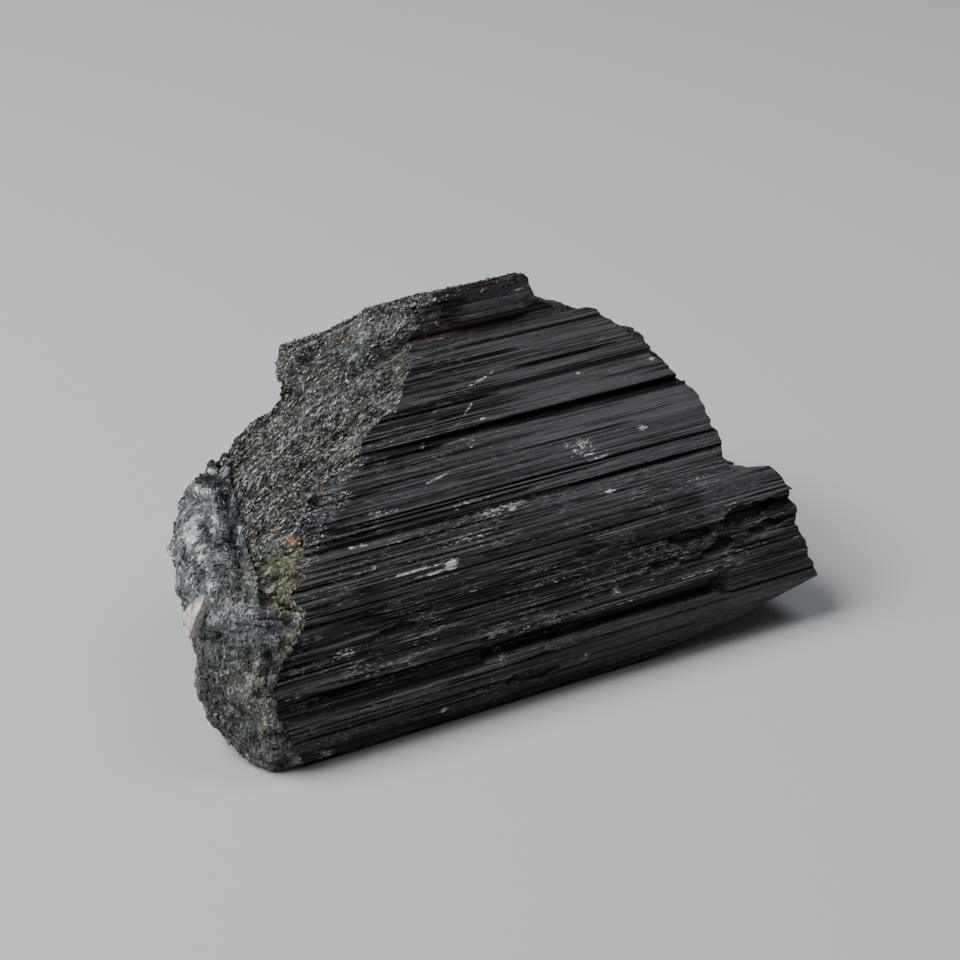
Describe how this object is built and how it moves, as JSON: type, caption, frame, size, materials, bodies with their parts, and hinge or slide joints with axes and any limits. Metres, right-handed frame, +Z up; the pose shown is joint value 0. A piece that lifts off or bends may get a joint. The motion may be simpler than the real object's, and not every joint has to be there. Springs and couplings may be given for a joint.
{
  "type": "tourmaline crystal",
  "caption": "Loose broken prism of black tourmaline lying on its side, striated along its length, with a ridge on top, stepped ends and a lump of mica rock on the left end.",
  "frame": {"origin": "on the resting plane, under the middle of the bounding box", "axes": "+X along the crystal's length (c-axis) from the host rock towards the stepped end, +Y from the striated front to the back, +Z up"},
  "size_m": [0.0732, 0.0402, 0.0365],
  "materials": {
    "schorl": "black, glassy on the striae and sugary on the breaks",
    "host_rock": "rough grey mica and feldspar with a greenish crust"
  },
  "bodies": {
    "root": {"tourmaline_crystal": "schorl", "mica_matrix": "host_rock"}
  },
  "joints": []
}
